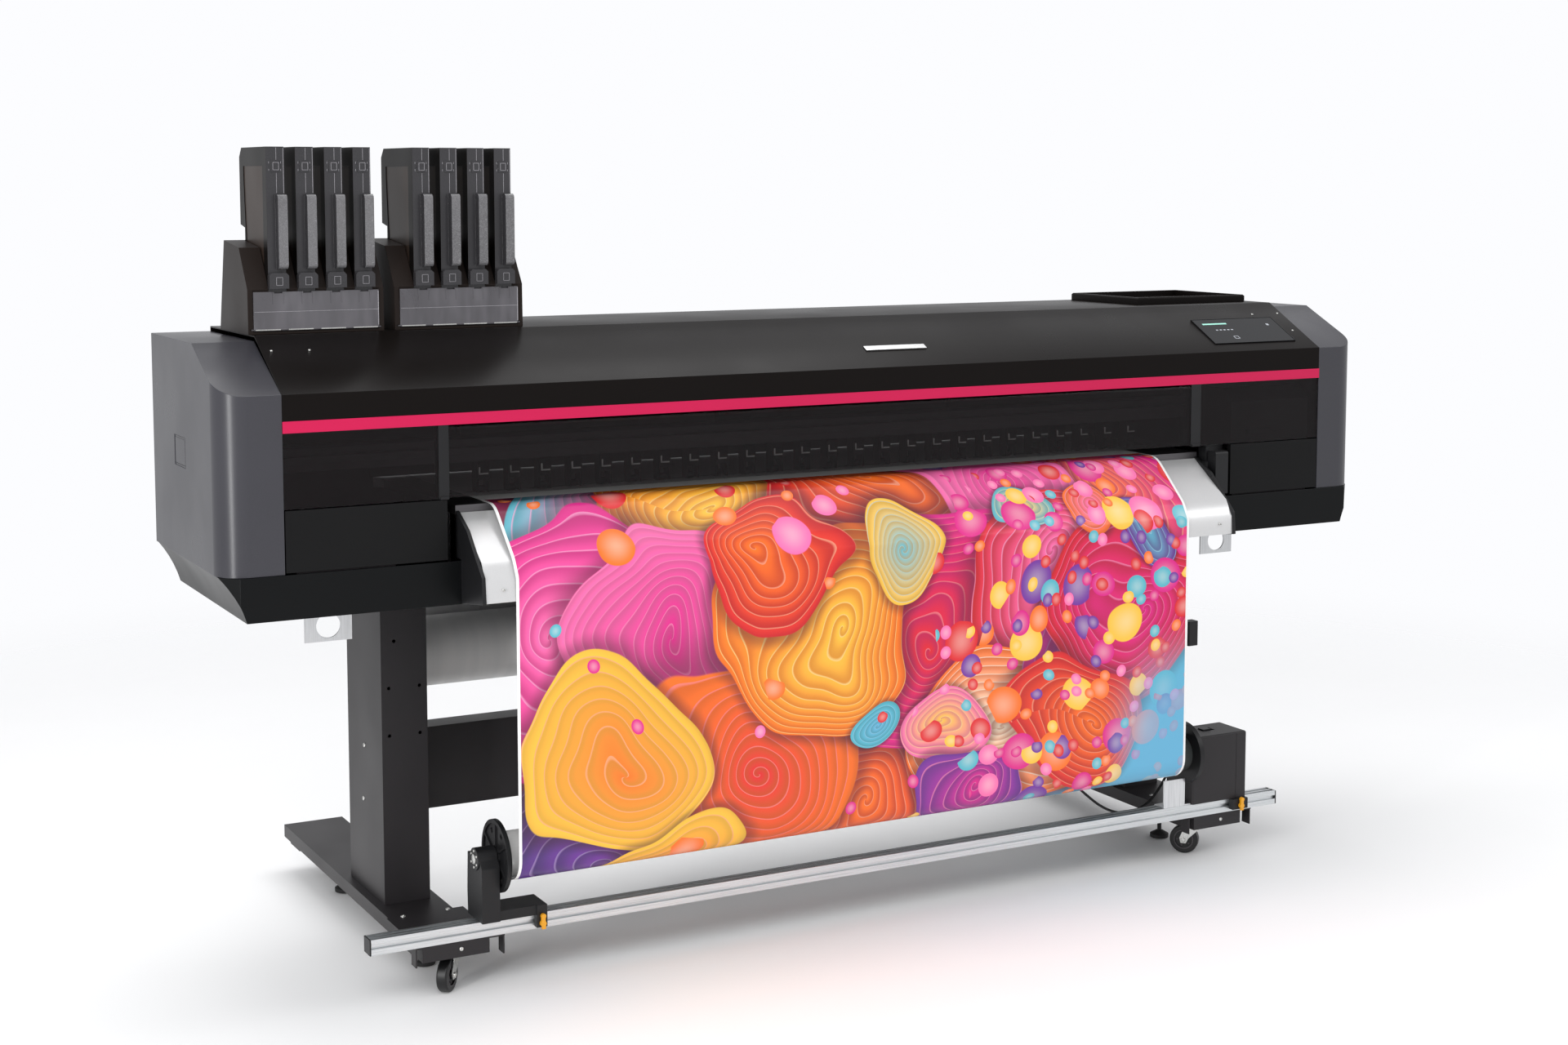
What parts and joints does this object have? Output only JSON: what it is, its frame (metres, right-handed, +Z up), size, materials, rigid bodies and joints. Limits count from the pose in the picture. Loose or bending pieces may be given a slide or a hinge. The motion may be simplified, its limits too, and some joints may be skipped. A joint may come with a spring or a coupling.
{
  "type": "wide format roll printer",
  "caption": "Wide roll-to-roll inkjet sign printer on a caster stand, with side covers, clear front cover, top ink cartridges and a motorised front take-up.",
  "frame": {"origin": "on the floor under the middle of the machine's box", "axes": "+Z up, X along the width, the operator's side (front) is -Y"},
  "size_m": [2.698, 1.028, 1.626],
  "materials": {
    "cover_grey": "satin moulded",
    "lid_black": "satin",
    "base_black": "satin",
    "stripe_magenta": "satin",
    "panel_black": "fine grain",
    "window_smoke": "dark tinted",
    "stand_charcoal": "powder coat",
    "guide_silver": "satin silver",
    "aluminium_rail": "anodised",
    "bracket_steel": "zinc plated",
    "part_black": "moulded",
    "lever_yellow": "moulded",
    "cartridge_grey": "smoky translucent",
    "flap_smoke": "smoky translucent",
    "holder_brown": "satin",
    "zinc": "zinc plated",
    "caster_black": "moulded",
    "screen": "touch glass",
    "vinyl_print": "printed vinyl, semi-gloss",
    "cord_black": "PVC",
    "foot_rubber": "moulded",
    "inner_grey": "satin",
    "platen_dark": "anodised",
    "roll_white": "wound vinyl and paper core"
  },
  "bodies": {
    "machine": {"feet": "stand_charcoal", "levelling_feet": "foot_rubber", "stand_frame": "stand_charcoal", "base_pan": "base_black", "side_cover_left": "cover_grey", "side_cover_right": "cover_grey", "top_cover": "lid_black", "stripe": "stripe_magenta", "rear_cover": "lid_black", "window_posts": "part_black", "bay_windows": "window_smoke", "touch_panel": "screen", "top_tray": "lid_black", "hole_brackets": "bracket_steel", "platen": "platen_dark", "apron": "guide_silver", "apron_ends": "part_black", "media_web": "vinyl_print", "guide_rail": "inner_grey", "pinch_rollers": "inner_grey", "cap_station": "inner_grey", "rail": "aluminium_rail", "motor_box": "stand_charcoal", "supply_holders": "stand_charcoal", "loop_sensor": "part_black", "cable": "cord_black", "screws": "zinc", "ink_holder_left": "holder_brown", "ink_holder_right": "holder_brown"},
    "window": {"window_cover": "window_smoke"},
    "left_panel": {"panel_left": "panel_black"},
    "right_panel": {"panel_right": "panel_black"},
    "lever": {"pressure_lever": "part_black"},
    "print_carriage": {"carriage": "part_black"},
    "grit": {"grit_roller": "zinc"},
    "left_flap": {"flap_left": "flap_smoke"},
    "right_flap": {"flap_right": "flap_smoke"},
    "slider": {"takeup_slider": "part_black"},
    "disc": {"takeup_disc": "part_black"},
    "takeup": {"takeup_roll": "roll_white"},
    "slider_clamp": {"slider_lever": "lever_yellow"},
    "motor_clamp": {"motor_lever": "lever_yellow"},
    "knob": {"drive_knob": "part_black"},
    "supply": {"supply_roll": "roll_white"},
    "ink_1": {"cartridge_1": "cartridge_grey"},
    "ink_2": {"cartridge_2": "cartridge_grey"},
    "ink_3": {"cartridge_3": "cartridge_grey"},
    "ink_4": {"cartridge_4": "cartridge_grey"},
    "ink_5": {"cartridge_5": "cartridge_grey"},
    "ink_6": {"cartridge_6": "cartridge_grey"},
    "ink_7": {"cartridge_7": "cartridge_grey"},
    "ink_8": {"cartridge_8": "cartridge_grey"},
    "fork_1": {"caster_fork_1": "zinc"},
    "wheel_1": {"caster_wheel_1": "caster_black"},
    "fork_2": {"caster_fork_2": "zinc"},
    "wheel_2": {"caster_wheel_2": "caster_black"},
    "fork_3": {"caster_fork_3": "zinc"},
    "wheel_3": {"caster_wheel_3": "caster_black"},
    "fork_4": {"caster_fork_4": "zinc"},
    "wheel_4": {"caster_wheel_4": "caster_black"}
  },
  "joints": [
    {"name": "window_tilt", "type": "hinge", "parent": "machine", "child": "window", "pos_m": [0, -0.391, 1.096], "axis": [-1, 0, 0], "range_deg": [0, 80]},
    {"name": "left_panel_tilt", "type": "hinge", "parent": "machine", "child": "left_panel", "pos_m": [-1.073, -0.391, 0.847], "axis": [1, 0, 0], "range_deg": [0, 85]},
    {"name": "right_panel_tilt", "type": "hinge", "parent": "machine", "child": "right_panel", "pos_m": [1.1, -0.391, 0.847], "axis": [1, 0, 0], "range_deg": [0, 85]},
    {"name": "lever_pull", "type": "hinge", "parent": "machine", "child": "lever", "pos_m": [0.923, -0.384, 0.86], "axis": [1, 0, 0], "range_deg": [0, 30]},
    {"name": "carriage_travel", "type": "slide", "parent": "machine", "child": "print_carriage", "axis": [1, 0, 0], "range_m": [-2.19, 0]},
    {"name": "supply_spin", "type": "hinge", "parent": "machine", "child": "supply", "pos_m": [0, 0.1198, 0.56], "axis": [1, 0, 0], "continuous": true},
    {"name": "grit_spin", "type": "hinge", "parent": "machine", "child": "grit", "pos_m": [0, -0.235, 0.9305], "axis": [1, 0, 0], "continuous": true},
    {"name": "takeup_spin", "type": "hinge", "parent": "machine", "child": "takeup", "pos_m": [0, -0.413, 0.261], "axis": [1, 0, 0], "continuous": true},
    {"name": "slider_travel", "type": "slide", "parent": "machine", "child": "slider", "axis": [1, 0, 0], "range_m": [-0.2, 0]},
    {"name": "disc_spin", "type": "hinge", "parent": "slider", "child": "disc", "pos_m": [-0.829, -0.413, 0.261], "axis": [1, 0, 0], "continuous": true},
    {"name": "slider_clamp_turn", "type": "hinge", "parent": "slider", "child": "slider_clamp", "pos_m": [-0.754, -0.447, 0.125], "axis": [0, 1, 0], "range_deg": [0, 90]},
    {"name": "motor_clamp_turn", "type": "hinge", "parent": "machine", "child": "motor_clamp", "pos_m": [0.978, -0.446, 0.125], "axis": [0, 1, 0], "range_deg": [0, 90]},
    {"name": "knob_turn", "type": "hinge", "parent": "machine", "child": "knob", "pos_m": [1.001, -0.4, 0.2275], "axis": [1, 0, 0], "range_deg": [0, 90]},
    {"name": "left_flap_tilt", "type": "hinge", "parent": "machine", "child": "left_flap", "pos_m": [-1.1015, -0.1905, 1.279], "axis": [1, 0, 0], "range_deg": [0, 90]},
    {"name": "right_flap_tilt", "type": "hinge", "parent": "machine", "child": "right_flap", "pos_m": [-0.8125, -0.1905, 1.279], "axis": [1, 0, 0], "range_deg": [0, 90]},
    {"name": "ink_1_pull", "type": "slide", "parent": "machine", "child": "ink_1", "axis": [0, 0, 1], "range_m": [0, 0.17]},
    {"name": "ink_2_pull", "type": "slide", "parent": "machine", "child": "ink_2", "axis": [0, 0, 1], "range_m": [0, 0.17]},
    {"name": "ink_3_pull", "type": "slide", "parent": "machine", "child": "ink_3", "axis": [0, 0, 1], "range_m": [0, 0.17]},
    {"name": "ink_4_pull", "type": "slide", "parent": "machine", "child": "ink_4", "axis": [0, 0, 1], "range_m": [0, 0.17]},
    {"name": "ink_5_pull", "type": "slide", "parent": "machine", "child": "ink_5", "axis": [0, 0, 1], "range_m": [0, 0.17]},
    {"name": "ink_6_pull", "type": "slide", "parent": "machine", "child": "ink_6", "axis": [0, 0, 1], "range_m": [0, 0.17]},
    {"name": "ink_7_pull", "type": "slide", "parent": "machine", "child": "ink_7", "axis": [0, 0, 1], "range_m": [0, 0.17]},
    {"name": "ink_8_pull", "type": "slide", "parent": "machine", "child": "ink_8", "axis": [0, 0, 1], "range_m": [0, 0.17]},
    {"name": "swivel_1", "type": "hinge", "parent": "machine", "child": "fork_1", "pos_m": [-0.912, -0.368, 0.075], "axis": [0, 0, 1], "continuous": true},
    {"name": "roll_1", "type": "hinge", "parent": "fork_1", "child": "wheel_1", "pos_m": [-0.92885, -0.3878, 0.033], "axis": [0.7615, -0.6481, 0], "continuous": true},
    {"name": "swivel_2", "type": "hinge", "parent": "machine", "child": "fork_2", "pos_m": [0.912, -0.368, 0.075], "axis": [0, 0, 1], "continuous": true},
    {"name": "roll_2", "type": "hinge", "parent": "fork_2", "child": "wheel_2", "pos_m": [0.89515, -0.3482, 0.033], "axis": [-0.7615, -0.6481, 0], "continuous": true},
    {"name": "swivel_3", "type": "hinge", "parent": "machine", "child": "fork_3", "pos_m": [-0.912, 0.43, 0.075], "axis": [0, 0, 1], "continuous": true},
    {"name": "roll_3", "type": "hinge", "parent": "fork_3", "child": "wheel_3", "pos_m": [-0.8907, 0.44491, 0.033], "axis": [-0.5736, 0.8192, 0], "continuous": true},
    {"name": "swivel_4", "type": "hinge", "parent": "machine", "child": "fork_4", "pos_m": [0.912, 0.43, 0.075], "axis": [0, 0, 1], "continuous": true},
    {"name": "roll_4", "type": "hinge", "parent": "fork_4", "child": "wheel_4", "pos_m": [0.92801, 0.40951, 0.033], "axis": [0.788, 0.6157, 0], "continuous": true}
  ],
  "couplings": [
    {"joint": "disc_spin", "follows": "takeup_spin", "ratio": 1},
    {"joint": "grit_spin", "follows": "supply_spin", "ratio": 5.7692}
  ]
}
